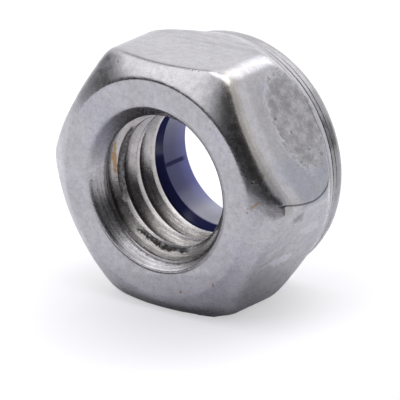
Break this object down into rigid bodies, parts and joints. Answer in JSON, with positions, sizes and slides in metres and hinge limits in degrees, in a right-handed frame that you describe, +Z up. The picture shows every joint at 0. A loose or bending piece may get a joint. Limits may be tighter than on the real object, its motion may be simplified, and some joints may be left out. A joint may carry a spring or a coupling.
{
  "type": "nylon insert lock nut",
  "caption": "Hexagon lock nut with a threaded bore, chamfered corners and a crimped round collar that holds a nylon locking ring.",
  "frame": {"origin": "on the thread axis, halfway along the nut", "axes": "+Y along the thread axis from the bearing face to the collar, +Z up from the flat that the nut lies on, +X to a corner of the hexagon"},
  "size_m": [0.0146, 0.0076, 0.013],
  "materials": {
    "stainless": "tumbled, matte, finely pitted",
    "nylon": "smooth, slightly translucent dark blue"
  },
  "bodies": {
    "root": {"nut_body": "stainless", "nylon_ring": "nylon"}
  },
  "joints": []
}
